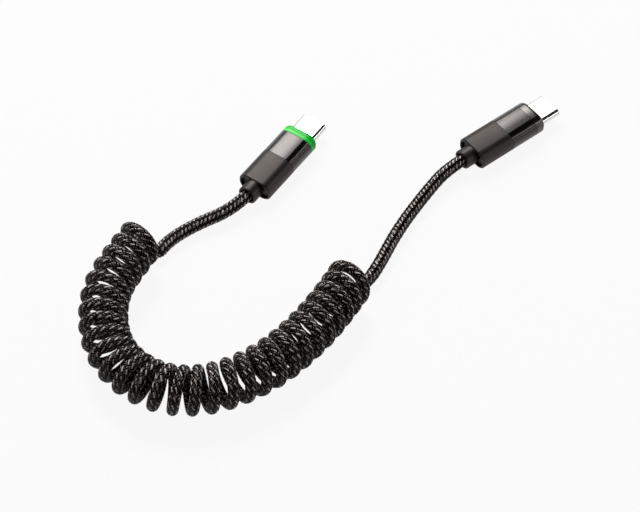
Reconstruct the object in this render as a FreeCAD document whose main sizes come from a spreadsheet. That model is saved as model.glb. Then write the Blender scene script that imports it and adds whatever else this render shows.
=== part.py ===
import FreeCAD, Part
import math
import os
import Sketcher
from FreeCAD import Placement, Rotation, Vector

# Sizes in millimetres
SIZES = {
    "cord_diameter": 3.6,
    "coil_outer_diameter": 14.0,
    "housing_width": 10.9,
    "housing_thickness": 6.4,
    "housing_corner_radius": 2.95,
    "sleeve_wall": 0.7,
    "rear_wall": 1.0,
    "rear_recess": 0.8,
    "rear_rim": 0.7,
    "collar_length": 3.7,
    "collar_diameter": 5.8,
    "collar_neck_diameter": 4.8,
    "collar_rim_round": 0.25,
    "collar_rim_facet": 0.07,
    "collar_mouth_flare": 0.5,
    "collar_mouth_depth": 1.2,
    "rear_sleeve_length": 11.6,
    "front_sleeve_length": 9.0,
    "ring_length": 3.1,
    "ring_edge_round": 1.1,
    "rear_edge_bevel": 0.3,
    "seam_bevel": 0.12,
    "shell_width": 8.25,
    "shell_thickness": 2.4,
    "shell_wall": 0.25,
    "shell_corner_radius": 1.15,
    "shell_exposed_length": 6.65,
    "shell_inset": 3.0,
    "shell_nose_bevel": 0.15,
    "mouth_recess": 0.3,
    "mouth_side_wall": 0.5,
    "mouth_floor": 0.425,
    "block_tail": 1.0,
    "contact_thickness": 0.15,
    "board_side_gap": 0.1,
    "board_insert": 1.2,
    "board_length": 8.0,
    "contact_pitch": 0.5,
    "contact_width": 0.26,
    "contact_pad_length": 1.6,
    "contact_setback": 0.7,
    "contact_bump": 0.18,
    "contact_bump_place": 1.0,
    "contact_bump_flat": 0.4,
    "contact_bump_base": 1.6,
    "contact_tip_thickness": 0.06,
    "latch_thickness": 0.2,
    "latch_arm_width": 0.25,
    "latch_bar_length": 0.6,
    "latch_hook": 0.12,
    "latch_hook_place": 0.4,
    "latch_hook_base": 1.0,
    "wire_diameter": 0.9,
    "wire_gap": 0.3,
    "wire_pad_length": 1.5,
    "jacket_inset": 3.2,
    "pocket_side_gap": 0.4,
    "pocket_height": 2.8,
    "marker_chip_size": 2.0,
    "marker_chip_height": 0.6,
    "lamp_length": 1.6,
    "lamp_width": 0.8,
    "lamp_height": 0.5,
    "fit_clearance": 0.05,
}

CONTACTS_IN_A_ROW = 12

# Outlines are first drawn about this size, and their constraints then move them
DRAFT_RADIUS = 5.0

# Where each plug lies: the middle of its cord exit on the floor, and its turn about Z
PLUG_A_EXIT = (-44.38, -18.02)
PLUG_A_YAW = 55.2
PLUG_B_EXIT = (17.42, -4.66)
PLUG_B_YAW = 38.2

# Centre-line of the coiled stretch, from the end near plug A to the end near plug B
COIL_ROUTE = [
    (-73.0, -36.5),
    (-76.5, -42.0),
    (-83.5, -56.0),
    (-81.5, -75.5),
    (-69.0, -87.5),
    (-54.0, -89.0),
    (-38.5, -81.5),
    (-26.5, -69.5),
    (-17.0, -55.0),
    (-14.0, -49.0),
]

# The cord leaves each end of the coil low on its right side, this far round from the bottom
LEAVING_ANGLE = 35.0

# Free leads between the coil and the plugs: x, y and the rise of the cord above the floor
LEAD_A_FIRST_RUN = 6.5
LEAD_A_ROUTE = [
    (-59.2, -27.7, 0.0),
]
LEAD_A_LAST_RUN = 5.4
LEAD_B_FIRST_RUN = 8.6
LEAD_B_ROUTE = [
    (-1.3, -28.9, 0.0),
    (7.8, -14.6, 0.4),
]
LEAD_B_LAST_RUN = 5.5

# How much of the shorter straight run each bend takes up
BEND_SHARE = 0.45

doc = FreeCAD.newDocument("usb_c_coiled_cable")
sheet = doc.addObject("Spreadsheet::Sheet", "sizes")
for row, (size_name, size_value) in enumerate(SIZES.items(), start=1):
    sheet.set("A%d" % row, size_name)
    sheet.set("B%d" % row, str(size_value))
    sheet.setAlias("B%d" % row, size_name)
doc.recompute()

# Places along a plug, from its cord exit towards the nose, as expressions of the sheet
S = "sizes."
REAR_START = S + "collar_length"
WALL_START = "(" + REAR_START + " + sizes.rear_recess)"
MOULD_START = "(" + WALL_START + " + sizes.rear_wall)"
SEAM = "(" + REAR_START + " + sizes.rear_sleeve_length)"
RING_START = "(" + SEAM + " + sizes.front_sleeve_length)"
NOSE_FACE = "(" + RING_START + " + sizes.ring_length)"
SHELL_REAR = "(" + RING_START + " - sizes.shell_inset)"
SHELL_TIP = "(" + NOSE_FACE + " + sizes.shell_exposed_length)"
MOUTH_FACE = "(" + SHELL_TIP + " - sizes.mouth_recess)"
BLOCK_REAR = "(" + SHELL_REAR + " - sizes.block_tail)"
BOARD_FRONT = "(" + BLOCK_REAR + " + sizes.board_insert)"
BOARD_REAR = "(" + BOARD_FRONT + " - sizes.board_length)"
CORD_END = "(" + MOULD_START + " + sizes.jacket_inset)"
CONTACT_TAIL = "(" + BOARD_FRONT + " - sizes.contact_pad_length)"
CONTACT_END = "(" + MOUTH_FACE + " - sizes.contact_setback)"
BLOCK_HALF_WIDTH = "((sizes.shell_width - sizes.fit_clearance) / 2 - sizes.shell_wall)"
BLOCK_TOP = "((sizes.shell_thickness - sizes.fit_clearance) / 2 - sizes.shell_wall)"
MOUTH_HALF_WIDTH = "(" + BLOCK_HALF_WIDTH + " - sizes.mouth_side_wall)"
MOUTH_TOP = "(" + BLOCK_TOP + " - sizes.mouth_floor)"
BOARD_TOP = "(" + MOUTH_TOP + " - sizes.contact_thickness)"
BOARD_HALF_WIDTH = "(" + MOUTH_HALF_WIDTH + " - sizes.board_side_gap)"


class Section:
    """A rounded rectangle: its width, height and corner radius, as expressions and as numbers."""

    def __init__(self, expressions, numbers):
        self.expressions = expressions
        self.numbers = numbers

    def inset(self, inset, amount):
        """The same section moved inwards on every side."""
        width, height, radius = self.expressions
        expressions = (
            "(%s - 2 * (%s))" % (width, inset),
            "(%s - 2 * (%s))" % (height, inset),
            "(%s - (%s))" % (radius, inset),
        )
        width, height, radius = self.numbers
        return Section(expressions, (width - 2 * amount, height - 2 * amount, radius - amount))


def named_section(*size_names):
    return Section([S + name for name in size_names], [SIZES[name] for name in size_names])


WALL = SIZES["sleeve_wall"]
CLEARANCE = SIZES["fit_clearance"]
HOUSING = named_section("housing_width", "housing_thickness", "housing_corner_radius")
REAR_RECESS = HOUSING.inset("sizes.rear_rim", SIZES["rear_rim"])
SLEEVE_BORE = HOUSING.inset("sizes.sleeve_wall", WALL)
MOULD_OUTER = HOUSING.inset("sizes.sleeve_wall + sizes.fit_clearance", WALL + CLEARANCE)
SHELL_OUTER = named_section("shell_width", "shell_thickness", "shell_corner_radius")
SHELL_SEAT = SHELL_OUTER.inset("0 - sizes.fit_clearance", -CLEARANCE)
SHELL_BORE = SHELL_OUTER.inset("sizes.shell_wall", SIZES["shell_wall"])
BLOCK_OUTER = SHELL_BORE.inset("sizes.fit_clearance / 2", CLEARANCE / 2)


def new_body(label):
    body = doc.addObject("PartDesign::Body", label)
    body.Label = label
    if hasattr(body, "AllowCompound"):
        body.AllowCompound = True
    return body


def origin_plane(body, role):
    for feature in body.Origin.OriginFeatures:
        if feature.Role == role:
            return feature
    raise ValueError("no origin plane " + role)


def new_sketch(body, role, offset=None):
    sketch = doc.addObject("Sketcher::SketchObject", body.Label + "_sketch")
    body.addObject(sketch)
    sketch.AttachmentSupport = [(origin_plane(body, role), "")]
    sketch.MapMode = "FlatFace"
    if offset:
        sketch.setExpression("AttachmentOffset.Base.z", offset)
    return sketch


def bind(sketch, constraint, name, expression):
    number = sketch.addConstraint(constraint)
    sketch.renameConstraint(number, name)
    sketch.setExpression("Constraints." + name, expression)


def rounded_sketch(body, section, start):
    """A rounded rectangle about the plug's axis, square to it."""
    sketch = new_sketch(body, "YZ_Plane", start)
    width, height, radius = section.numbers
    half_width = width / 2
    half_height = height / 2
    across = half_width - radius
    up = half_height - radius
    sketch.addGeometry([
        Part.LineSegment(Vector(-across, half_height, 0), Vector(across, half_height, 0)),
        Part.LineSegment(Vector(half_width, up, 0), Vector(half_width, -up, 0)),
        Part.LineSegment(Vector(across, -half_height, 0), Vector(-across, -half_height, 0)),
        Part.LineSegment(Vector(-half_width, -up, 0), Vector(-half_width, up, 0)),
    ], False)
    quarter = math.pi / 2
    for centre_x, centre_y, first in (
        (across, up, 0.0),
        (across, -up, 3 * quarter),
        (-across, -up, 2 * quarter),
        (-across, up, quarter),
    ):
        circle = Part.Circle(Vector(centre_x, centre_y, 0), Vector(0, 0, 1), radius)
        sketch.addGeometry(Part.ArcOfCircle(circle, first, first + quarter), False)
    joins = [
        (0, 2, 4, 2),
        (4, 1, 1, 1),
        (1, 2, 5, 2),
        (5, 1, 2, 1),
        (2, 2, 6, 2),
        (6, 1, 3, 1),
        (3, 2, 7, 2),
        (7, 1, 0, 1),
    ]
    for first, first_end, second, second_end in joins:
        sketch.addConstraint(Sketcher.Constraint("Tangent", first, first_end, second, second_end))
    sketch.addConstraint(Sketcher.Constraint("Horizontal", 0))
    sketch.addConstraint(Sketcher.Constraint("Vertical", 1))
    for arc in (5, 6, 7):
        sketch.addConstraint(Sketcher.Constraint("Equal", 4, arc))
    sketch.addConstraint(Sketcher.Constraint("Symmetric", 5, 3, 7, 3, -1, 1))
    bind(sketch, Sketcher.Constraint("Radius", 4, radius), "radius", section.expressions[2])
    bind(sketch, Sketcher.Constraint("DistanceX", 3, 1, 1, 1, width), "width", section.expressions[0])
    bind(sketch, Sketcher.Constraint("DistanceY", 2, 1, 0, 1, height), "height", section.expressions[1])
    return sketch


def polygon_sketch(body, role, corners, offset=None):
    """A closed outline whose corners are pairs of expressions of the sheet."""
    sketch = new_sketch(body, role, offset)
    count = len(corners)
    for number in range(count):
        turn = 2 * math.pi * number / count
        after = 2 * math.pi * (number + 1) / count
        start = Vector(DRAFT_RADIUS * math.cos(turn), DRAFT_RADIUS * math.sin(turn), 0)
        end = Vector(DRAFT_RADIUS * math.cos(after), DRAFT_RADIUS * math.sin(after), 0)
        sketch.addGeometry(Part.LineSegment(start, end), False)
    for number in range(count):
        sketch.addConstraint(Sketcher.Constraint("Coincident", number, 2, (number + 1) % count, 1))
    for number, (across, up) in enumerate(corners):
        bind(sketch, Sketcher.Constraint("DistanceX", -1, 1, number, 1, 1.0), "across%d" % number, across)
        bind(sketch, Sketcher.Constraint("DistanceY", -1, 1, number, 1, 1.0), "up%d" % number, up)
    return sketch


def round_sketch(body, diameter, start):
    """A circle about the plug's axis, square to it."""
    sketch = new_sketch(body, "YZ_Plane", start)
    sketch.addGeometry(Part.Circle(Vector(0, 0, 0), Vector(0, 0, 1), DRAFT_RADIUS), False)
    sketch.addConstraint(Sketcher.Constraint("Coincident", 0, 3, -1, 1))
    bind(sketch, Sketcher.Constraint("Diameter", 0, 2 * DRAFT_RADIUS), "diameter", diameter)
    return sketch


def pad(body, sketch, length, midplane=False):
    feature = body.newObject("PartDesign::Pad", body.Label + "_pad")
    feature.Profile = sketch
    feature.setExpression("Length", length)
    feature.Midplane = midplane
    body.Tip = feature
    doc.recompute()
    return feature


def pocket(body, sketch, length):
    feature = body.newObject("PartDesign::Pocket", body.Label + "_pocket")
    feature.Profile = sketch
    feature.setExpression("Length", length)
    feature.Reversed = True
    body.Tip = feature
    doc.recompute()
    return feature


def end_face(feature, towards_nose):
    """The name of the end face that looks to the nose, or to the cord."""
    faces = feature.Shape.Faces
    along = [face.CenterOfMass.x if abs(face.normalAt(0, 0).x) > 0.99 else None for face in faces]
    square = [place for place in along if place is not None]
    wanted = max(square) if towards_nose else min(square)
    return "Face%d" % (along.index(wanted) + 1)


def bevel_face(body, feature, towards_nose, size):
    """Bevels every edge of an end face."""
    bevel = body.newObject("PartDesign::Chamfer", body.Label + "_bevel")
    bevel.Base = (feature, [end_face(feature, towards_nose)])
    bevel.setExpression("Size", size)
    body.Tip = bevel
    doc.recompute()
    return bevel


def round_face(body, feature, towards_nose, radius):
    """Rounds every edge of an end face."""
    rounding = body.newObject("PartDesign::Fillet", body.Label + "_round")
    rounding.Base = (feature, [end_face(feature, towards_nose)])
    rounding.setExpression("Radius", radius)
    body.Tip = rounding
    doc.recompute()
    return rounding


def block_between(body, start, length, half_width, low, high):
    """A plain block along the plug's axis."""
    corners = [
        ("0 - " + half_width, low),
        (half_width, low),
        (half_width, high),
        ("0 - " + half_width, high),
    ]
    return pad(body, polygon_sketch(body, "YZ_Plane", corners, start), length)


def make_collar(label):
    body = new_body(label)
    bore = "(sizes.cord_diameter / 2 + sizes.fit_clearance)"
    outer = "(sizes.collar_diameter / 2)"
    neck = "(sizes.collar_neck_diameter / 2)"
    corners = [
        ("0", bore + " + sizes.collar_mouth_flare"),
        ("0", outer + " - sizes.collar_rim_round"),
        ("sizes.collar_rim_facet", outer + " - sizes.collar_rim_facet"),
        ("sizes.collar_rim_round", outer),
        (REAR_START, outer),
        (REAR_START, neck),
        (MOULD_START, neck),
        (MOULD_START, bore),
        ("sizes.collar_mouth_depth", bore),
    ]
    sketch = polygon_sketch(body, "XY_Plane", corners)
    feature = body.newObject("PartDesign::Revolution", label + "_turned")
    feature.Profile = sketch
    feature.ReferenceAxis = (sketch, ["H_Axis"])
    feature.Angle = 360.0
    body.Tip = feature
    doc.recompute()
    return body


def make_rear_sleeve(label):
    body = new_body(label)
    outside = pad(body, rounded_sketch(body, HOUSING, REAR_START), "sizes.rear_sleeve_length")
    bevelled = bevel_face(body, outside, False, "sizes.rear_edge_bevel")
    bevel_face(body, bevelled, True, "sizes.seam_bevel")
    pocket(body, rounded_sketch(body, SLEEVE_BORE, MOULD_START), "sizes.rear_sleeve_length")
    pocket(body, rounded_sketch(body, REAR_RECESS, REAR_START), "sizes.rear_recess")
    hole = "sizes.collar_neck_diameter + 2 * sizes.fit_clearance"
    pocket(body, round_sketch(body, hole, REAR_START), "sizes.rear_recess + sizes.rear_wall")
    return body


def make_front_sleeve(label):
    body = new_body(label)
    outside = pad(body, rounded_sketch(body, HOUSING, SEAM), "sizes.front_sleeve_length")
    bevel_face(body, outside, True, "sizes.seam_bevel")
    pocket(body, rounded_sketch(body, SLEEVE_BORE, SEAM), "sizes.front_sleeve_length")
    return body


def make_ring(label):
    body = new_body(label)
    outside = pad(body, rounded_sketch(body, HOUSING, RING_START), "sizes.ring_length")
    round_face(body, outside, True, "sizes.ring_edge_round")
    pocket(body, rounded_sketch(body, SHELL_SEAT, RING_START), "sizes.ring_length")
    return body


def make_shell(label):
    body = new_body(label)
    length = SHELL_TIP + " - " + SHELL_REAR
    outside = pad(body, rounded_sketch(body, SHELL_OUTER, SHELL_REAR), length)
    bevel_face(body, outside, True, "sizes.shell_nose_bevel")
    pocket(body, rounded_sketch(body, SHELL_BORE, SHELL_REAR), length)
    return body


def make_contact_block(label):
    body = new_body(label)
    length = MOUTH_FACE + " - " + BLOCK_REAR
    pad(body, rounded_sketch(body, BLOCK_OUTER, BLOCK_REAR), length)
    corners = [
        ("0 - " + MOUTH_HALF_WIDTH, "0 - " + MOUTH_TOP),
        (MOUTH_HALF_WIDTH, "0 - " + MOUTH_TOP),
        (MOUTH_HALF_WIDTH, MOUTH_TOP),
        ("0 - " + MOUTH_HALF_WIDTH, MOUTH_TOP),
    ]
    pocket(body, polygon_sketch(body, "YZ_Plane", corners, BLOCK_REAR), length)
    return body


def make_contacts(label, side):
    """One row of contact strips, each with a bump that presses on the mating tongue."""
    body = new_body(label)
    inner = "%d * %s" % (side, BOARD_TOP)
    bump = "%d * (%s - sizes.contact_bump)" % (side, BOARD_TOP)
    outer = "%d * %s" % (side, MOUTH_TOP)
    tip = "%d * (%s - sizes.contact_tip_thickness)" % (side, MOUTH_TOP)
    bump_middle = "(" + CONTACT_END + " - sizes.contact_bump_place)"
    corners = [
        (CONTACT_TAIL, inner),
        (bump_middle + " - sizes.contact_bump_base / 2", inner),
        (bump_middle + " - sizes.contact_bump_flat / 2", bump),
        (bump_middle + " + sizes.contact_bump_flat / 2", bump),
        (bump_middle + " + sizes.contact_bump_base / 2", inner),
        (CONTACT_END, tip),
        (CONTACT_END, outer),
        (CONTACT_TAIL, outer),
    ]
    reach = "sizes.contact_pitch * %d" % (CONTACTS_IN_A_ROW - 1)
    sketch = polygon_sketch(body, "XZ_Plane", corners, "(%s) / 2" % reach)
    strip = pad(body, sketch, "sizes.contact_width", midplane=True)
    row = body.newObject("PartDesign::LinearPattern", label + "_row")
    row.Originals = [strip]
    row.Direction = (sketch, ["N_Axis"])
    row.Reversed = True
    row.setExpression("Length", reach)
    row.Occurrences = CONTACTS_IN_A_ROW
    body.Tip = row
    doc.recompute()
    return body


def make_latch(label):
    """The flat sprung fork whose two hooks hold the plug in its socket."""
    body = new_body(label)
    bar_start = "(%s + sizes.fit_clearance)" % BOARD_FRONT
    bar_end = "(%s + sizes.latch_bar_length)" % bar_start
    outer = "(%s - sizes.fit_clearance)" % MOUTH_HALF_WIDTH
    inner = "(%s - sizes.latch_arm_width)" % outer
    hook = "(%s - sizes.latch_hook)" % inner
    hook_place = CONTACT_END + " - sizes.latch_hook_place"
    hook_base = CONTACT_END + " - sizes.latch_hook_base"
    right_side = [
        (bar_start, "0 - " + outer),
        (CONTACT_END, "0 - " + outer),
        (CONTACT_END, "0 - " + inner),
        (hook_place, "0 - " + hook),
        (hook_base, "0 - " + inner),
        (bar_end, "0 - " + inner),
    ]
    left_side = [
        (bar_end, inner),
        (hook_base, inner),
        (hook_place, hook),
        (CONTACT_END, inner),
        (CONTACT_END, outer),
        (bar_start, outer),
    ]
    sketch = polygon_sketch(body, "XY_Plane", right_side + left_side)
    pad(body, sketch, "sizes.latch_thickness", midplane=True)
    return body


def make_board(label):
    body = new_body(label)
    block_between(body, BOARD_REAR, "sizes.board_length", BOARD_HALF_WIDTH, "0 - " + BOARD_TOP, BOARD_TOP)
    return body


def make_wires(label):
    """Four cores from the end of the cord to their pads, two above the board and two below."""
    body = new_body(label)
    sideways = "((sizes.wire_diameter + sizes.wire_gap) / 2)"
    upwards = "(%s + sizes.wire_diameter / 2)" % BOARD_TOP
    length = BOARD_REAR + " + sizes.wire_pad_length - " + CORD_END
    for side in (-1, 1):
        for level in (-1, 1):
            sketch = new_sketch(body, "YZ_Plane", CORD_END)
            sketch.addGeometry(Part.Circle(Vector(side, level, 0), Vector(0, 0, 1), 0.4), False)
            across = Sketcher.Constraint("DistanceX", -1, 1, 0, 3, side)
            up = Sketcher.Constraint("DistanceY", -1, 1, 0, 3, level)
            bind(sketch, Sketcher.Constraint("Diameter", 0, 0.8), "diameter", "sizes.wire_diameter")
            bind(sketch, across, "across", "%d * %s" % (side, sideways))
            bind(sketch, up, "up", "%d * %s" % (level, upwards))
            pad(body, sketch, length)
    return body


def make_mould(label):
    """The plastic core that both sleeves slide over; it grips the cord and the steel shell."""
    body = new_body(label)
    length = RING_START + " - " + MOULD_START
    pad(body, rounded_sketch(body, MOULD_OUTER, MOULD_START), length)
    pocket(body, rounded_sketch(body, SHELL_SEAT, BLOCK_REAR), "sizes.shell_inset + sizes.block_tail")
    half = "(%s + sizes.pocket_side_gap)" % BOARD_HALF_WIDTH
    top = "(sizes.pocket_height / 2)"
    corners = [
        ("0 - " + half, "0 - " + top),
        (half, "0 - " + top),
        (half, top),
        ("0 - " + half, top),
    ]
    chamber = polygon_sketch(body, "YZ_Plane", corners, CORD_END)
    pocket(body, chamber, BLOCK_REAR + " - " + CORD_END)
    bore = "sizes.cord_diameter + 2 * sizes.fit_clearance"
    pocket(body, round_sketch(body, bore, MOULD_START), "sizes.jacket_inset")
    return body


def make_marker_chip(label):
    body = new_body(label)
    start = "(%s - sizes.fit_clearance - sizes.marker_chip_size)" % CONTACT_TAIL
    top = "%s + sizes.marker_chip_height" % BOARD_TOP
    block_between(body, start, "sizes.marker_chip_size", "(sizes.marker_chip_size / 2)", BOARD_TOP, top)
    return body


def make_lamp(label):
    body = new_body(label)
    start = "(%s - sizes.fit_clearance - sizes.lamp_width)" % CONTACT_TAIL
    low = "0 - (%s + sizes.lamp_height)" % BOARD_TOP
    block_between(body, start, "sizes.lamp_width", "(sizes.lamp_length / 2)", low, "0 - " + BOARD_TOP)
    return body


def plug_placement(place, yaw):
    height = SIZES["housing_thickness"] / 2
    return Placement(Vector(place[0], place[1], height), Rotation(Vector(0, 0, 1), yaw))


def make_plug(name, placement, lit):
    pieces = [
        make_collar(name + "_collar"),
        make_rear_sleeve(name + "_rear_sleeve"),
        make_front_sleeve(name + "_front_sleeve"),
        make_ring(name + ("_light_ring" if lit else "_nose_ring")),
        make_shell(name + "_shell"),
        make_contact_block(name + "_contact_block"),
        make_contacts(name + "_contacts_top", 1),
        make_contacts(name + "_contacts_bottom", -1),
        make_latch(name + "_latch"),
        make_board(name + "_board"),
        make_wires(name + "_wires"),
        make_mould(name + "_inner_mould"),
        make_marker_chip(name + "_marker_chip"),
    ]
    if lit:
        pieces.append(make_lamp(name + "_lamp"))
    for piece in pieces:
        piece.Placement = placement
    return pieces


def disc(place, heading, diameter):
    rim = Part.Circle(place, heading, diameter / 2).toShape()
    return Part.Face(Part.Wire([rim]))


def tube(label, points, diameter):
    """A plain round tube along straight runs joined by tangent arcs."""
    runs = []
    radii = []
    length = 0.0
    here = points[0]
    for before, corner, after in zip(points, points[1:], points[2:]):
        heading = (corner - before).normalize()
        onward = (after - corner).normalize()
        reach = BEND_SHARE * min((corner - before).Length, (after - corner).Length)
        turn = heading.getAngle(onward)
        radius = reach / math.tan(turn / 2)
        start = corner - heading * reach
        centre = corner + (onward - heading).normalize() * (radius / math.cos(turn / 2))
        runs.append(disc(here, heading, diameter).extrude(start - here))
        hinge = heading.cross(onward)
        runs.append(disc(start, heading, diameter).revolve(centre, hinge, math.degrees(turn)))
        radii.append(round(radius, 1))
        length += (start - here).Length + radius * turn
        here = corner + onward * reach
    last = points[-1] - here
    runs.append(disc(here, last, diameter).extrude(last))
    length += last.Length
    solid = runs[0].multiFuse(runs[1:]).removeSplitter().Solids[0]
    plain_volume = math.pi * diameter ** 2 / 4 * length
    print(label, "length", round(length, 1), "bend radii", radii,
          "volume against section by length", round(solid.Volume / plain_volume, 4))
    feature = doc.addObject("Part::Feature", label)
    feature.Label = label
    feature.Shape = solid
    return feature


def coil_leaving_point(end, beside):
    """Where the cord leaves the flat end of the coil, and the direction out of that end."""
    outward = Vector(end[0] - beside[0], end[1] - beside[1], 0).normalize()
    right = Vector(outward.y, -outward.x, 0)
    turn_radius = (SIZES["coil_outer_diameter"] - SIZES["cord_diameter"]) / 2
    angle = math.radians(LEAVING_ANGLE)
    height = SIZES["coil_outer_diameter"] / 2 - turn_radius * math.cos(angle)
    return Vector(end[0], end[1], height) + right * (turn_radius * math.sin(angle)), outward


def make_lead(label, coil_end, coil_beside, first_run, route, last_run, placement):
    """A free lead from the end of the coil into its plug, where the wires take over."""
    start, outward = coil_leaving_point(coil_end, coil_beside)
    low = SIZES["cord_diameter"] / 2
    points = [start, start + outward * first_run]
    points[1].z = (start.z + low) / 2
    points[0].z = points[1].z
    for across, away, rise in route:
        points.append(Vector(across, away, low + rise))
    wall_end = SIZES["collar_length"] + SIZES["rear_recess"] + SIZES["rear_wall"]
    cord_end = wall_end + SIZES["jacket_inset"]
    points.append(placement.multVec(Vector(-last_run, 0, 0)))
    points.append(placement.multVec(Vector(cord_end, 0, 0)))
    return tube(label, points, SIZES["cord_diameter"])


place_a = plug_placement(PLUG_A_EXIT, PLUG_A_YAW)
place_b = plug_placement(PLUG_B_EXIT, PLUG_B_YAW)
nodes = make_plug("plug_a", place_a, True)
nodes += make_plug("plug_b", place_b, False)

coil_height = SIZES["coil_outer_diameter"] / 2
coil_points = [Vector(x, y, coil_height) for x, y in COIL_ROUTE]
nodes.append(tube("coil", coil_points, SIZES["coil_outer_diameter"]))
nodes.append(make_lead("lead_a", COIL_ROUTE[0], COIL_ROUTE[1], LEAD_A_FIRST_RUN, LEAD_A_ROUTE,
                       LEAD_A_LAST_RUN, place_a))
nodes.append(make_lead("lead_b", COIL_ROUTE[-1], COIL_ROUTE[-2], LEAD_B_FIRST_RUN, LEAD_B_ROUTE,
                       LEAD_B_LAST_RUN, place_b))

doc.recompute()
for item in doc.Objects:
    if "Invalid" in item.State or "Error" in item.State:
        raise RuntimeError("not built: " + item.Label)
for node in nodes:
    if node.Shape.isNull() or not node.Shape.isValid():
        raise RuntimeError("bad shape: " + node.Label)

os.makedirs("parts", exist_ok=True)
for node in nodes:
    node.Shape.exportStep("parts/%s.step" % node.Label)
    print(node.Label, "solids", len(node.Shape.Solids), "volume", round(node.Shape.Volume, 2))
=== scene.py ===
import math

import bpy
import numpy
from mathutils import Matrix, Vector


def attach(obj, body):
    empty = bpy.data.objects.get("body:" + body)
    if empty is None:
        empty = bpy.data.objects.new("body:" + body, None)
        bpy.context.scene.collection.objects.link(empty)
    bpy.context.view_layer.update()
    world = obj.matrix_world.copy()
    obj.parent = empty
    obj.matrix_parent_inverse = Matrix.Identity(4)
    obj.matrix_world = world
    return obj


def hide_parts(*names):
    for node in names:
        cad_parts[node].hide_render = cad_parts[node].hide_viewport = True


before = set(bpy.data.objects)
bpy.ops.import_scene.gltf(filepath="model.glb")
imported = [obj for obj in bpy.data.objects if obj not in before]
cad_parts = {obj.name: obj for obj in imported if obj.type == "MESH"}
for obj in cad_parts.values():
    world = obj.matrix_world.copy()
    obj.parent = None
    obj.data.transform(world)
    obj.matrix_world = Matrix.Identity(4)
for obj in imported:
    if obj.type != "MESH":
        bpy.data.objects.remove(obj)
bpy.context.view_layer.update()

MM = 0.001

# Cord, in millimetres: its diameters, and where along it they change
CORD_DIAMETER = 3.9
COLLAR_CORD_DIAMETER = 3.6
COIL_CORD_DIAMETER = 3.3
CORD_START_IN_COLLAR = 3.5
COLLAR_SIZE_UNTIL = 3.0
FULL_SIZE_FROM = 5.5
COIL_TAPER = 8.0

# Leads: the straight way out of each plug, and the height of the points on the table
LEAD_A_STRAIGHT = 5.4
LEAD_B_STRAIGHT = 5.5
LEAD_HEIGHT = 1.9

# Coil, in millimetres and degrees: spaced as if it ran to the full angle, but ends at the last one
COIL_FIRST_ANGLE = 45.0
COIL_LAST_ANGLE = 10460.0
COIL_FULL_ANGLE = 10556.0
COIL_RADIUS_AT_A = 5.25
COIL_RADIUS_AT_B = 5.35
COIL_SWELL_AT_BEND = 0.1
COIL_SPREAD_AT_A = 0.051
COIL_SPREAD_AT_ENDS = -0.039
COIL_LEAN_AT_B = 0.15
POINT_ANGLE = 22.5

# A smooth curve runs inside its control points: its radius is this share of theirs
SPLINE_SHRINK = 0.981
AXIS_RESOLUTION = 48
ROUTE_RESOLUTION = 12

# Plugs: where the cord leaves each one, and which way it points
PLUG_AXIS_HEIGHT = 3.2
PLUG_A_EXIT = (-44.38, -18.02)
PLUG_A_YAW = 55.2
PLUG_B_EXIT = (17.42, -4.66)
PLUG_B_YAW = 38.2
RING_START = 24.3
RING_END = 27.4
GLOW_HALF_WIDTH = 5.3
WIRE_ROW_HALF_WIDTH = 1.8

# Centre-line of the coil, laid on the table
COIL_ROUTE = [
    (-73.0, -36.5),
    (-76.5, -42.0),
    (-83.5, -56.0),
    (-81.5, -75.5),
    (-69.0, -87.5),
    (-54.0, -89.0),
    (-38.5, -81.5),
    (-26.5, -69.5),
    (-17.0, -55.0),
    (-14.0, -49.0),
]

# Braid: flat yarns, half of them wound each way
CARRIERS_EACH_WAY = 12
BRAID_LAY = 8.0
COIL_BRAID_LAY = 12.0
BRAID_STEP = 0.5
YARN_WIDTH = 0.60
YARN_THICKNESS = 0.26
YARN_LIFT = 0.09
CORE_DIAMETER = 2.7
CORE_SIDES = 10

# Section of a yarn, as shares of half its width and half its thickness
YARN_UNDERSIDE = 0.2
YARN_SHOULDER_WIDTH = 0.6
YARN_SHOULDER_HEIGHT = 0.8

# Pattern of a yarn: one bundle's share of the way round it, and its flecks
BUNDLE_SHARE = 0.13
FLECKS_ROUND_YARN = 3.0
FLECKS_PER_MM = 0.6
FLECK_EDGE = 0.08

# Camera, matched to both plugs
CAMERA_TARGET = (-23.5, -37.3)
CAMERA_ELEVATION = 52.0
CAMERA_DISTANCE = 700.0
CAMERA_LENS = 139.8
SENSOR_WIDTH = 36.0

# Light and floor, the floor's size in metres
WORLD_LIGHT = 0.05
FLOOR_SIZE = 6.0
FLOOR_OWN_WHITE = 0.78
FLOOR_WHITE_LEVEL = 1.17
WHITE = (1.0, 1.0, 1.0, 1.0)

# Sockets of a Mix node that mixes two colours
MIX_SHARE = 0
MIX_FIRST = 6
MIX_SECOND = 7
MIX_RESULT = 2

# A band wave repeats after this length at a scale of 1
BAND_REPEAT = 2 * math.pi / 20


def linear(code):
    """An sRGB hex colour as linear RGBA."""
    values = [int(code[place : place + 2], 16) / 255 for place in (1, 3, 5)]
    return [v / 12.92 if v <= 0.04045 else ((v + 0.055) / 1.055) ** 2.4 for v in values] + [1.0]


def set_sockets(tree, node, values=None, links=None):
    """Put values on some of a node's sockets, and links into others."""
    for socket, value in (values or {}).items():
        node.inputs[socket].default_value = value
    for socket, source in (links or {}).items():
        tree.links.new(source, node.inputs[socket])


def add_node(tree, kind, values=None, links=None, **settings):
    """One node with its settings, the values on its sockets and the links into them."""
    made = tree.nodes.new(kind)
    for name, value in settings.items():
        setattr(made, name, value)
    set_sockets(tree, made, values, links)
    return made


def new_material(name):
    """A material with its node tree and its main shader."""
    material = bpy.data.materials.new(name)
    material.use_nodes = True
    tree = material.node_tree
    return material, tree, tree.nodes["Principled BSDF"]


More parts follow.
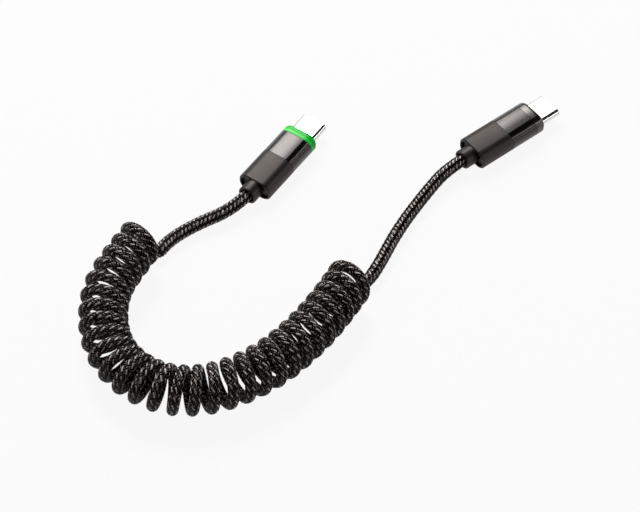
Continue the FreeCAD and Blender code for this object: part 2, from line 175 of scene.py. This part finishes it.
def plug_coordinates(tree, exit_point, yaw):
    """Object coordinates turned so that X runs along a plug from its cord exit and Y across it."""
    turn = math.radians(yaw)
    back_x = exit_point[0] * math.cos(turn) + exit_point[1] * math.sin(turn)
    back_y = exit_point[1] * math.cos(turn) - exit_point[0] * math.sin(turn)
    place = add_node(tree, "ShaderNodeTexCoord")
    return add_node(
        tree,
        "ShaderNodeMapping",
        {"Location": (-back_x * MM, -back_y * MM, 0.0), "Rotation": (0.0, 0.0, -turn)},
        {"Vector": place.outputs["Object"]},
    ).outputs["Vector"]


def crowned_bump(tree, place, crown, grain, grain_depth):
    """The slight crown of a sleeve's faces, a fall of crown times the distance squared, with its grain."""
    split = add_node(tree, "ShaderNodeSeparateXYZ", links={"Vector": place})
    square = add_node(
        tree,
        "ShaderNodeMath",
        links={0: split.outputs["Y"], 1: split.outputs["Y"]},
        operation="MULTIPLY",
    )
    fall = add_node(
        tree,
        "ShaderNodeMath",
        {1: -crown},
        {0: square.outputs["Value"]},
        operation="MULTIPLY",
    )
    crown_bump = add_node(
        tree,
        "ShaderNodeBump",
        {"Distance": 1.0},
        {"Height": fall.outputs["Value"]},
    )
    return add_node(
        tree,
        "ShaderNodeBump",
        {"Distance": grain_depth * MM, "Strength": 0.6},
        {"Height": grain, "Normal": crown_bump.outputs["Normal"]},
    ).outputs["Normal"]


# Materials

def anodised_aluminium(name, exit_point, yaw, crown, smoothest, roughest):
    """Bead-blasted, dark anodised aluminium: satin, warm grey, with a fine even grit.

    The grit is about 0.05 mm across, too fine to show, and is drawn at 0.2 mm.
    """
    grit_size = 0.2
    cloud_size = 4.0
    material, tree, shader = new_material(name)
    place = plug_coordinates(tree, exit_point, yaw)
    grit = add_node(
        tree,
        "ShaderNodeTexNoise",
        {"Scale": 1 / (grit_size * MM), "Detail": 3.0},
        {"Vector": place},
    )
    cloud = add_node(
        tree,
        "ShaderNodeTexNoise",
        {"Scale": 1 / (cloud_size * MM), "Detail": 2.0},
        {"Vector": place},
    )
    tone = add_node(
        tree,
        "ShaderNodeMix",
        {MIX_FIRST: linear("#3d3937"), MIX_SECOND: linear("#474341")},
        {MIX_SHARE: cloud.outputs["Fac"]},
        data_type="RGBA",
    )
    rough = add_node(
        tree,
        "ShaderNodeMapRange",
        {"To Min": smoothest, "To Max": roughest},
        {"Value": grit.outputs["Fac"]},
    )
    normal = crowned_bump(tree, place, crown, grain=grit.outputs["Fac"], grain_depth=0.006)
    set_sockets(
        tree,
        shader,
        {"Metallic": 1.0},
        {"Base Color": tone.outputs[MIX_RESULT], "Roughness": rough.outputs["Result"], "Normal": normal},
    )
    return material


def smoked_gloss(name, exit_point, yaw, dark, pale):
    """Smoked polycarbonate moulded over a bright metal tube: deep grey and glossy, with a hard coat.

    The plastic takes the tube's gleam, so the two are drawn as one dark metal under a clear coat.
    """
    ripple_size = 2.5
    material, tree, shader = new_material(name)
    place = plug_coordinates(tree, exit_point, yaw)
    ripple = add_node(
        tree,
        "ShaderNodeTexNoise",
        {"Scale": 1 / (ripple_size * MM), "Detail": 1.0},
        {"Vector": place},
    )
    tone = add_node(
        tree,
        "ShaderNodeMix",
        {MIX_FIRST: linear(dark), MIX_SECOND: linear(pale)},
        {MIX_SHARE: ripple.outputs["Fac"]},
        data_type="RGBA",
    )
    rough = add_node(
        tree,
        "ShaderNodeMapRange",
        {"To Min": 0.2, "To Max": 0.26},
        {"Value": ripple.outputs["Fac"]},
    )
    normal = crowned_bump(tree, place, crown=30.0, grain=ripple.outputs["Fac"], grain_depth=0.006)
    set_sockets(
        tree,
        shader,
        {"Metallic": 1.0, "Coat Weight": 0.25, "Coat Roughness": 0.12},
        {"Base Color": tone.outputs[MIX_RESULT], "Roughness": rough.outputs["Result"], "Normal": normal},
    )
    return material


def lit_diffuser(name, exit_point, yaw):
    """Milky polycarbonate lit from behind by a green lamp, with painted light and shade: paler on one side
    and deeper on the other, darker at both ends, with a painted highlight band between.
    """
    haze_size = 0.8
    material, tree, shader = new_material(name)
    place = plug_coordinates(tree, exit_point, yaw)
    split = add_node(tree, "ShaderNodeSeparateXYZ", links={"Vector": place})
    across = add_node(
        tree,
        "ShaderNodeMapRange",
        {"From Min": -GLOW_HALF_WIDTH * MM, "From Max": GLOW_HALF_WIDTH * MM},
        {"Value": split.outputs["Y"]},
    )
    along = add_node(
        tree,
        "ShaderNodeMapRange",
        {"From Min": RING_START * MM, "From Max": RING_END * MM},
        {"Value": split.outputs["X"]},
    )
    haze = add_node(
        tree,
        "ShaderNodeTexNoise",
        {"Scale": 1 / (haze_size * MM), "Detail": 2.0},
        {"Vector": place},
    )
    # Painted light and shade: the green runs from deep on one side of the ring to pale on the other, as if
    # lit from that side
    green_with_painted_side_light = add_node(tree, "ShaderNodeValToRGB", links={"Fac": across.outputs["Result"]})
    green_with_painted_side_light.color_ramp.elements[0].color = linear("#128a2a")
    green_with_painted_side_light.color_ramp.elements[1].color = linear("#6cff6c")
    green_with_painted_side_light.color_ramp.elements.new(0.35).color = linear("#22e63c")
    # Painted shade and highlight: darker at both ends of the ring, with a white band a quarter of the way
    # along, so that it looks bulged
    painted_end_shade_and_highlight = add_node(tree, "ShaderNodeValToRGB", links={"Fac": along.outputs["Result"]})
    painted_end_shade_and_highlight.color_ramp.elements[0].color = linear("#9a9a9a")
    painted_end_shade_and_highlight.color_ramp.elements[1].color = linear("#808080")
    for position, level in ((0.24, "#ffffff"), (0.42, "#b8b8b8"), (0.7, "#c8c8c8")):
        painted_end_shade_and_highlight.color_ramp.elements.new(position).color = linear(level)
    # The painted light and shade, multiplied onto the green
    green_with_painted_shading = add_node(
        tree,
        "ShaderNodeMix",
        {MIX_SHARE: 1.0},
        {MIX_FIRST: green_with_painted_side_light.outputs["Color"], MIX_SECOND: painted_end_shade_and_highlight.outputs["Color"]},
        data_type="RGBA",
        blend_type="MULTIPLY",
    )
    rough = add_node(
        tree,
        "ShaderNodeMapRange",
        {"To Min": 0.3, "To Max": 0.45},
        {"Value": haze.outputs["Fac"]},
    )
    set_sockets(
        tree,
        shader,
        {"Base Color": linear("#0f5a1e"), "Emission Strength": 1.0, "Specular IOR Level": 0.2},
        {"Emission Color": green_with_painted_shading.outputs[MIX_RESULT], "Roughness": rough.outputs["Result"]},
    )
    return material


def drawn_steel(name, exit_point, yaw):
    """Nickel-plated steel, deep drawn and tumbled: bright, with faint lines along the draw."""
    line_length = 6.0
    line_width = 0.25
    material, tree, shader = new_material(name)
    place = plug_coordinates(tree, exit_point, yaw)
    along = add_node(
        tree,
        "ShaderNodeMapping",
        {"Scale": (1 / (line_length * MM), 1 / (line_width * MM), 1 / (line_width * MM))},
        {"Vector": place},
    )
    lines = add_node(
        tree,
        "ShaderNodeTexNoise",
        {"Scale": 1.0, "Detail": 2.0},
        {"Vector": along.outputs["Vector"]},
    )
    rough = add_node(
        tree,
        "ShaderNodeMapRange",
        {"To Min": 0.03, "To Max": 0.07},
        {"Value": lines.outputs["Fac"]},
    )
    bump = add_node(
        tree,
        "ShaderNodeBump",
        {"Distance": 0.002 * MM, "Strength": 0.4},
        {"Height": lines.outputs["Fac"]},
    )
    set_sockets(
        tree,
        shader,
        {"Base Color": linear("#d9d8d5"), "Metallic": 1.0},
        {"Roughness": rough.outputs["Result"], "Normal": bump.outputs["Normal"]},
    )
    return material


def moulded_plastic(name, dark, pale, roughness):
    """Moulded plastic with a fine spark-eroded texture, about 0.15 mm: matt and slightly uneven."""
    pit_size = 0.15
    roughness_spread = 0.06
    material, tree, shader = new_material(name)
    place = add_node(tree, "ShaderNodeTexCoord").outputs["Object"]
    pits = add_node(
        tree,
        "ShaderNodeTexNoise",
        {"Scale": 1 / (pit_size * MM), "Detail": 3.0},
        {"Vector": place},
    )
    tone = add_node(
        tree,
        "ShaderNodeMix",
        {MIX_FIRST: linear(dark), MIX_SECOND: linear(pale)},
        {MIX_SHARE: pits.outputs["Fac"]},
        data_type="RGBA",
    )
    rough = add_node(
        tree,
        "ShaderNodeMapRange",
        {"To Min": roughness - roughness_spread, "To Max": roughness + roughness_spread},
        {"Value": pits.outputs["Fac"]},
    )
    bump = add_node(
        tree,
        "ShaderNodeBump",
        {"Distance": 0.01 * MM, "Strength": 0.5},
        {"Height": pits.outputs["Fac"]},
    )
    set_sockets(
        tree,
        shader,
        {"IOR": 1.52},
        {
            "Base Color": tone.outputs[MIX_RESULT],
            "Roughness": rough.outputs["Result"],
            "Normal": bump.outputs["Normal"],
        },
    )
    return material


def gold_plate(name):
    """Gold flash over nickel on stamped contacts: warm, bright, lightly wiped."""
    wipe_size = 0.3
    material, tree, shader = new_material(name)
    place = add_node(tree, "ShaderNodeTexCoord").outputs["Object"]
    wipe = add_node(
        tree,
        "ShaderNodeTexNoise",
        {"Scale": 1 / (wipe_size * MM), "Detail": 2.0},
        {"Vector": place},
    )
    tone = add_node(
        tree,
        "ShaderNodeMix",
        {MIX_FIRST: linear("#c99a3f"), MIX_SECOND: linear("#e2bf6e")},
        {MIX_SHARE: wipe.outputs["Fac"]},
        data_type="RGBA",
    )
    rough = add_node(
        tree,
        "ShaderNodeMapRange",
        {"To Min": 0.2, "To Max": 0.32},
        {"Value": wipe.outputs["Fac"]},
    )
    set_sockets(
        tree,
        shader,
        {"Metallic": 1.0},
        {"Base Color": tone.outputs[MIX_RESULT], "Roughness": rough.outputs["Result"]},
    )
    return material


def coloured_wires(name, exit_point, yaw):
    """Extruded PVC on four wires side by side, each its own colour, with a waxy skin."""
    skin_size = 0.4
    material, tree, shader = new_material(name)
    place = plug_coordinates(tree, exit_point, yaw)
    split = add_node(tree, "ShaderNodeSeparateXYZ", links={"Vector": place})
    across = add_node(
        tree,
        "ShaderNodeMapRange",
        {"From Min": -WIRE_ROW_HALF_WIDTH * MM, "From Max": WIRE_ROW_HALF_WIDTH * MM},
        {"Value": split.outputs["Y"]},
    )
    colours = add_node(tree, "ShaderNodeValToRGB", links={"Fac": across.outputs["Result"]})
    colours.color_ramp.interpolation = "CONSTANT"
    colours.color_ramp.elements[0].color = linear("#b3221e")
    colours.color_ramp.elements[1].position = 0.75
    colours.color_ramp.elements[1].color = linear("#1b1b1c")
    for position, colour in ((0.25, "#d8d6d0"), (0.5, "#1f7a3a")):
        colours.color_ramp.elements.new(position).color = linear(colour)
    skin = add_node(
        tree,
        "ShaderNodeTexNoise",
        {"Scale": 1 / (skin_size * MM), "Detail": 2.0},
        {"Vector": place},
    )
    rough = add_node(
        tree,
        "ShaderNodeMapRange",
        {"To Min": 0.4, "To Max": 0.55},
        {"Value": skin.outputs["Fac"]},
    )
    set_sockets(
        tree,
        shader,
        links={"Base Color": colours.outputs["Color"], "Roughness": rough.outputs["Result"]},
    )
    return material


def nylon_yarn(name, dark, pale, fleck_start, gloss):
    """Flat nylon yarn of the braid, dyed in the fibre, with the silky gloss of side-by-side filaments.

    A filament is about 0.03 mm, too fine to show, so each yarn is drawn with about eight bundles of them.
    """
    material, tree, shader = new_material(name)
    along = add_node(tree, "ShaderNodeUVMap", uv_map="along_yarn").outputs["UV"]
    bundles = add_node(
        tree,
        "ShaderNodeTexWave",
        {"Scale": BAND_REPEAT / BUNDLE_SHARE},
        {"Vector": along},
        wave_type="BANDS",
        bands_direction="X",
    )
    stretch = add_node(
        tree,
        "ShaderNodeMapping",
        {"Scale": (FLECKS_ROUND_YARN, FLECKS_PER_MM, 1.0)},
        {"Vector": along},
    )
    dye = add_node(
        tree,
        "ShaderNodeTexNoise",
        {"Scale": 1.0, "Detail": 2.0},
        {"Vector": stretch.outputs["Vector"]},
    )
    patches = add_node(
        tree,
        "ShaderNodeMapRange",
        {"From Min": fleck_start, "From Max": fleck_start + FLECK_EDGE},
        {"Value": dye.outputs["Fac"]},
    )
    tone = add_node(
        tree,
        "ShaderNodeMix",
        {MIX_FIRST: linear(dark), MIX_SECOND: linear(pale)},
        {MIX_SHARE: patches.outputs["Result"]},
        data_type="RGBA",
    )
    rough = add_node(
        tree,
        "ShaderNodeMapRange",
        {"To Min": 0.3, "To Max": 0.46},
        {"Value": dye.outputs["Fac"]},
    )
    bump = add_node(
        tree,
        "ShaderNodeBump",
        {"Distance": 0.02 * MM, "Strength": 0.5},
        {"Height": bundles.outputs["Fac"]},
    )
    across = add_node(tree, "ShaderNodeTangent", direction_type="UV_MAP", uv_map="along_yarn")
    set_sockets(
        tree,
        shader,
        {"IOR": 1.53, "Anisotropic": 0.8, "Specular IOR Level": gloss},
        {
            "Tangent": across.outputs["Tangent"],
            "Base Color": tone.outputs[MIX_RESULT],
            "Roughness": rough.outputs["Result"],
            "Normal": bump.outputs["Normal"],
        },
    )
    return material


def floor_paper(name):
    """White studio paper. The camera, and what is seen in metal, gets most of it as plain white."""
    material, tree, shader = new_material(name)
    rays = add_node(tree, "ShaderNodeLightPath")
    seen = add_node(
        tree,
        "ShaderNodeMath",
        links={0: rays.outputs["Is Camera Ray"], 1: rays.outputs["Is Glossy Ray"]},
        operation="MAXIMUM",
    )
    seen = add_node(
        tree,
        "ShaderNodeMath",
        links={0: seen.outputs["Value"], 1: rays.outputs["Is Transmission Ray"]},
        operation="MAXIMUM",
    )
    share = add_node(
        tree,
        "ShaderNodeMath",
        {1: FLOOR_OWN_WHITE},
        {0: seen.outputs["Value"]},
        operation="MULTIPLY",
    )
    white = add_node(tree, "ShaderNodeEmission", {"Color": WHITE, "Strength": FLOOR_WHITE_LEVEL})
    mixed = add_node(
        tree,
        "ShaderNodeMixShader",
        links={0: share.outputs["Value"], 1: shader.outputs["BSDF"], 2: white.outputs["Emission"]},
    )
    set_sockets(
        tree,
        shader,
        {"Base Color": linear("#9c9c9c"), "Roughness": 0.9, "Specular IOR Level": 0.1},
    )
    output = tree.nodes["Material Output"]
    set_sockets(tree, output, links={"Surface": mixed.outputs["Shader"]})
    return material


# Cord route

def plug_point(exit_point, yaw, along):
    """A point on a plug's axis, measured from where the cord leaves it."""
    turn = math.radians(yaw)
    x = exit_point[0] + along * math.cos(turn)
    y = exit_point[1] + along * math.sin(turn)
    return (x, y, PLUG_AXIS_HEIGHT)


def spline_curve(name, points, resolution):
    """A smooth open curve with these points, in millimetres, as its control points."""
    data = bpy.data.curves.new(name, "CURVE")
    data.dimensions = "3D"
    data.resolution_u = resolution
    spline = data.splines.new("NURBS")
    spline.points.add(len(points) - 1)
    for point, place in zip(spline.points, points):
        point.co = (place[0] * MM, place[1] * MM, place[2] * MM, 1.0)
    spline.order_u = 3
    spline.use_endpoint_u = True
    made = bpy.data.objects.new(name, data)
    bpy.context.collection.objects.link(made)
    return made


def points_of(curve):
    """The points along a curve with no bevel, in millimetres."""
    bpy.context.view_layer.update()
    mesh = bpy.data.meshes.new_from_object(curve)
    places = numpy.zeros(len(mesh.vertices) * 3)
    mesh.vertices.foreach_get("co", places)
    bpy.data.meshes.remove(mesh)
    return places.reshape(-1, 3) / MM


def unit(vectors):
    """The same directions at a length of 1."""
    return vectors / numpy.linalg.norm(vectors, axis=-1, keepdims=True)


def travel_along(points):
    """How far along the line each point is."""
    steps = numpy.linalg.norm(numpy.diff(points, axis=0), axis=1)
    return numpy.concatenate([[0.0], numpy.cumsum(steps)])


def at_travel(points, travel, wanted):
    """The points of a line at the wanted distances along it."""
    return numpy.stack([numpy.interp(wanted, travel, points[:, axis]) for axis in range(3)], axis=1)


axis_curve = spline_curve("coil_axis", [(x, y, 0.0) for x, y in COIL_ROUTE], AXIS_RESOLUTION)
axis_points = points_of(axis_curve)
bpy.data.objects.remove(axis_curve)
axis_travel = travel_along(axis_points)
axis_heading = unit(numpy.gradient(axis_points, axis_travel, axis=0))
coil_length = axis_travel[-1]


def coil_points():
    """The turns of the coil, left-handed, from end A to end B."""
    made = []
    steps = int((COIL_LAST_ANGLE - COIL_FIRST_ANGLE) / POINT_ANGLE)
    for step in range(steps + 1):
        angle = COIL_FIRST_ANGLE + step * POINT_ANGLE
        turn = math.radians(angle)
        share = (angle - COIL_FIRST_ANGLE) / (COIL_FULL_ANGLE - COIL_FIRST_ANGLE)
        bow = share * (1.0 - share)
        radius = COIL_RADIUS_AT_A + (COIL_RADIUS_AT_B - COIL_RADIUS_AT_A) * share
        radius += COIL_SWELL_AT_BEND * 4.0 * bow
        spread = COIL_SPREAD_AT_A + COIL_SPREAD_AT_ENDS * (1.0 - 2.0 * share)
        travel = coil_length * (share + bow * spread)
        centre = at_travel(axis_points, axis_travel, numpy.array([travel]))[0]
        heading = at_travel(axis_heading, axis_travel, numpy.array([travel]))[0]
        lean = -COIL_LEAN_AT_B * share * (2.0 * share - 1.0) * radius * math.cos(turn)
        reach = radius / SPLINE_SHRINK
        x = centre[0] + lean * heading[0] + reach * heading[1] * math.sin(turn)
        y = centre[1] + lean * heading[1] - reach * heading[0] * math.sin(turn)
        z = radius + COIL_CORD_DIAMETER / 2 - reach * math.cos(turn)
        made.append((x, y, z))
    return made


def beside_end(centre, heading, out, right, height):
    """A point beside an end of the coil: out along the heading, and to the right of it."""
    x = centre[0] + out * heading[0] + right * heading[1]
    y = centre[1] + out * heading[1] - right * heading[0]
    return (x, y, height)


end_a = axis_points[0]
end_b = axis_points[-1]
out_a = -axis_heading[0]
out_b = axis_heading[-1]
lead_a = [
    plug_point(PLUG_A_EXIT, PLUG_A_YAW, CORD_START_IN_COLLAR),
    plug_point(PLUG_A_EXIT, PLUG_A_YAW, -LEAD_A_STRAIGHT),
    (-59.2, -27.7, LEAD_HEIGHT),
    beside_end(end_a, out_a, out=5.9, right=3.9, height=LEAD_HEIGHT),
    beside_end(end_a, out_a, out=0.4, right=4.3, height=LEAD_HEIGHT),
]
lead_b = [
    beside_end(end_b, out_b, out=1.6, right=2.6, height=CORD_DIAMETER / 2),
    (-7.5, -43.1, LEAD_HEIGHT),
    (-1.3, -28.9, LEAD_HEIGHT),
    (7.8, -14.6, 2.2),
    plug_point(PLUG_B_EXIT, PLUG_B_YAW, -LEAD_B_STRAIGHT),
    plug_point(PLUG_B_EXIT, PLUG_B_YAW, CORD_START_IN_COLLAR),
]
turns = coil_points()
route_curve = spline_curve("cord_route", lead_a + turns + lead_b, ROUTE_RESOLUTION)
route_points = points_of(route_curve)
bpy.data.objects.remove(route_curve)
route_travel = travel_along(route_points)
cord_length = route_travel[-1]

# Frames along the cord that turn with it and never twist
rings = int(cord_length / BRAID_STEP)
ring_travel = numpy.linspace(0.0, cord_length, rings + 1)
ring_centre = at_travel(route_points, route_travel, ring_travel)
ring_heading = unit(numpy.gradient(ring_centre, ring_travel, axis=0))
ring_side = numpy.zeros_like(ring_centre)
side = numpy.cross(ring_heading[0], (0.0, 0.0, 1.0))
for index, heading in enumerate(ring_heading):
    side = side - heading * numpy.dot(side, heading)
    side = side / numpy.linalg.norm(side)
    ring_side[index] = side
ring_up = numpy.cross(ring_side, ring_heading)

# The cord is thinner in the collars, and the braid is drawn tighter where the cord is wound
first_turn = numpy.linalg.norm(ring_centre - numpy.array(turns[0]), axis=1).argmin()
last_turn = numpy.linalg.norm(ring_centre - numpy.array(turns[-1]), axis=1).argmin()
coil_start = ring_travel[first_turn]
coil_end = ring_travel[last_turn]
coil_taper = [coil_start - COIL_TAPER, coil_start, coil_end, coil_end + COIL_TAPER]
collar_a_taper = [COLLAR_SIZE_UNTIL, FULL_SIZE_FROM]
collar_b_taper = [cord_length - FULL_SIZE_FROM, cord_length - COLLAR_SIZE_UNTIL]
sizes_to_coil = [COLLAR_CORD_DIAMETER, CORD_DIAMETER, CORD_DIAMETER, COIL_CORD_DIAMETER]
ring_diameter = numpy.interp(
    ring_travel,
    collar_a_taper + coil_taper + collar_b_taper,
    sizes_to_coil + sizes_to_coil[::-1],
)
ring_size = ring_diameter / CORD_DIAMETER
ring_lay = numpy.interp(
    ring_travel,
    coil_taper,
    [BRAID_LAY, COIL_BRAID_LAY, COIL_BRAID_LAY, BRAID_LAY],
)
ring_turn = numpy.cumsum(2 * math.pi * BRAID_STEP / ring_lay)


# Braid

def tube_mesh(name, centres, across, upward, section, material):
    """Closed tubes of one section swept along rows of centres, as one mesh with a UV along each."""
    points = len(section)
    vertices = []
    faces = []
    uvs = []
    for number, (line, side_way, up_way) in enumerate(zip(centres, across, upward)):
        count = len(line)
        first = len(vertices)
        offsets = [(side_way * x + up_way * y) * ring_size[:, None] for x, y in section]
        ring = numpy.stack([line + offset for offset in offsets], axis=1)
        vertices.extend(ring.reshape(-1, 3) * MM)
        along = travel_along(line)
        for row in range(count - 1):
            low = first + row * points
            high = low + points
            start = along[row]
            end = along[row + 1]
            for place in range(points):
                following = (place + 1) % points
                faces.append((low + place, low + following, high + following, high + place))
                left = number + place / points
                right = number + (place + 1) / points
                uvs.extend([(left, start), (right, start), (right, end), (left, end)])
        faces.append(tuple(first + place for place in reversed(range(points))))
        uvs.extend([(0.0, 0.0)] * points)
        faces.append(tuple(first + (count - 1) * points + place for place in range(points)))
        uvs.extend([(0.0, along[-1])] * points)
    mesh = bpy.data.meshes.new(name)
    mesh.from_pydata([tuple(v) for v in vertices], [], faces)
    layer = mesh.uv_layers.new(name="along_yarn")
    layer.data.foreach_set("uv", numpy.array(uvs).ravel())
    mesh.shade_smooth()
    mesh.materials.append(material)
    made = bpy.data.objects.new(name, mesh)
    bpy.context.collection.objects.link(made)
    return made


def yarns(name, carriers, way, material):
    """The yarns of one colour that wind one way round the cord, over two and under two."""
    middle = CORD_DIAMETER / 2 - YARN_LIFT - YARN_THICKNESS / 2
    first_step = 0.0 if way > 0 else 0.5
    centres = []
    across = []
    upward = []
    for carrier in carriers:
        start = 2 * math.pi * (carrier + first_step) / CARRIERS_EACH_WAY
        angle = start + way * ring_turn
        lift = middle + way * YARN_LIFT * numpy.cos(angle * CARRIERS_EACH_WAY / 2)
        radial = ring_side * numpy.cos(angle)[:, None] + ring_up * numpy.sin(angle)[:, None]
        line = ring_centre + radial * (lift * ring_size)[:, None]
        heading = unit(numpy.gradient(line, axis=0))
        wide = unit(numpy.cross(heading, radial))
        centres.append(line)
        across.append(wide)
        upward.append(numpy.cross(wide, heading))
    half = YARN_WIDTH / 2
    top = YARN_THICKNESS / 2
    under = -YARN_UNDERSIDE * top
    shoulder = YARN_SHOULDER_WIDTH * half
    shoulder_height = YARN_SHOULDER_HEIGHT * top
    section = [
        (-half, under),
        (half, under),
        (shoulder, shoulder_height),
        (0.0, top),
        (-shoulder, shoulder_height),
    ]
    made = tube_mesh(name, centres, across, upward, section, material)
    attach(made, "root")
    return made


black_yarn = nylon_yarn("flecked_black_nylon", "#0b0706", "#5a524f", fleck_start=0.58, gloss=0.05)
grey_yarn = nylon_yarn("mottled_grey_nylon", "#0f0a09", "#e6dcd7", fleck_start=0.43, gloss=0.3)
dull_yarn = nylon_yarn("dull_grey_nylon", "#0f0a09", "#a89e99", fleck_start=0.54, gloss=0.12)
even_carriers = range(0, CARRIERS_EACH_WAY, 2)
odd_carriers = range(1, CARRIERS_EACH_WAY, 2)
braid = [
    yarns("braid_pale", even_carriers, 1, grey_yarn),
    yarns("braid_dull", odd_carriers, 1, dull_yarn),
    yarns("braid_black_even", even_carriers, -1, black_yarn),
    yarns("braid_black_odd", odd_carriers, -1, black_yarn),
]

# Dark jacket under the braid
half_core = CORE_DIAMETER / 2
core_angles = [2 * math.pi * place / CORE_SIDES for place in range(CORE_SIDES)]
core_section = [(half_core * math.cos(angle), half_core * math.sin(angle)) for angle in core_angles]
core = tube_mesh("cord_core", [ring_centre], [ring_side], [ring_up], core_section, black_yarn)
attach(core, "root")
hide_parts("coil", "lead_a", "lead_b")

# Plug finishes
plastic_black = moulded_plastic("moulded_black", "#121213", "#1c1c1e", roughness=0.42)
plastic_white = moulded_plastic("moulded_white", "#dedcd6", "#eeece6", roughness=0.45)
board_mask = moulded_plastic("board_mask", "#14502c", "#1d6b3c", roughness=0.35)
contact_gold = gold_plate("contact_gold")
for letter, exit_point, yaw in (("a", PLUG_A_EXIT, PLUG_A_YAW), ("b", PLUG_B_EXIT, PLUG_B_YAW)):
    satin = anodised_aluminium(
        "blasted_aluminium_" + letter,
        exit_point,
        yaw,
        crown=18.0,
        smoothest=0.46,
        roughest=0.56,
    )
    turned = anodised_aluminium(
        "turned_aluminium_" + letter,
        exit_point,
        yaw,
        crown=0.0,
        smoothest=0.44,
        roughest=0.54,
    )
    steel = drawn_steel("drawn_steel_" + letter, exit_point, yaw)
    finishes = {
        "collar": turned,
        "rear_sleeve": satin,
        "front_sleeve": smoked_gloss("smoked_gloss_" + letter, exit_point, yaw, "#322f2e", "#3b3836"),
        "shell": steel,
        "latch": steel,
        "contact_block": plastic_black,
        "contacts_top": contact_gold,
        "contacts_bottom": contact_gold,
        "board": board_mask,
        "wires": coloured_wires("wire_insulation_" + letter, exit_point, yaw),
        "inner_mould": plastic_white,
        "marker_chip": plastic_black,
    }
    if letter == "a":
        finishes["light_ring"] = lit_diffuser("lit_diffuser", exit_point, yaw)
        finishes["lamp"] = plastic_white
    else:
        finishes["nose_ring"] = smoked_gloss("unlit_diffuser", exit_point, yaw, "#454240", "#514e4b")
    for part, finish in finishes.items():
        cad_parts["plug_" + letter + "_" + part].material_slots[0].material = finish

# Floor and world
bpy.ops.object.select_all(action="DESELECT")
bpy.ops.mesh.primitive_plane_add(size=FLOOR_SIZE)
floor = bpy.context.object
floor.name = "floor"
floor.data.materials.append(floor_paper("floor_paper"))

scene = bpy.context.scene
world = bpy.data.worlds.new("studio")
scene.world = world
world.use_nodes = True
background = world.node_tree.nodes["Background"]
set_sockets(world.node_tree, background, {"Color": WHITE, "Strength": WORLD_LIGHT})


# Lamps

def softbox(name, bearing, elevation, distance, width, height, brightness):
    """A rectangular lamp aimed at the cable. Bearing 0 is straight behind it, and minus is to its left."""
    turn = math.radians(bearing)
    lift = math.radians(elevation)
    level = math.cos(lift)
    place = Vector((math.sin(turn) * level, math.cos(turn) * level, math.sin(lift)))
    aim = Vector((CAMERA_TARGET[0] * MM, CAMERA_TARGET[1] * MM, 0.0))
    bpy.ops.object.light_add(type="AREA", location=aim + place * distance)
    lamp = bpy.context.object
    lamp.name = name
    lamp.data.shape = "RECTANGLE"
    lamp.data.size = width
    lamp.data.size_y = height
    lamp.data.energy = brightness * math.pi * width * height
    lamp.rotation_euler = (-place).to_track_quat("-Z", "Y").to_euler()


softbox("back_softbox", -18.0, 38.0, distance=1.1, width=0.85, height=0.76, brightness=2.6)
softbox("bright_centre", -9.0, 47.0, distance=1.05, width=0.48, height=0.42, brightness=10.2)
softbox("left_softbox", -100.0, 42.0, distance=0.8, width=0.4, height=0.4, brightness=1.4)
softbox("right_strip", 96.0, 17.0, distance=0.8, width=0.5, height=0.08, brightness=7.5)

# Camera
rise = math.radians(CAMERA_ELEVATION)
camera_place = (
    CAMERA_TARGET[0] * MM,
    (CAMERA_TARGET[1] - CAMERA_DISTANCE * math.cos(rise)) * MM,
    CAMERA_DISTANCE * math.sin(rise) * MM,
)
bpy.ops.object.camera_add(location=camera_place, rotation=(math.pi / 2 - rise, 0.0, 0.0))
camera = bpy.context.object
camera.data.lens = CAMERA_LENS
camera.data.sensor_width = SENSOR_WIDTH
scene.camera = camera
scene.view_settings.view_transform = "Standard"
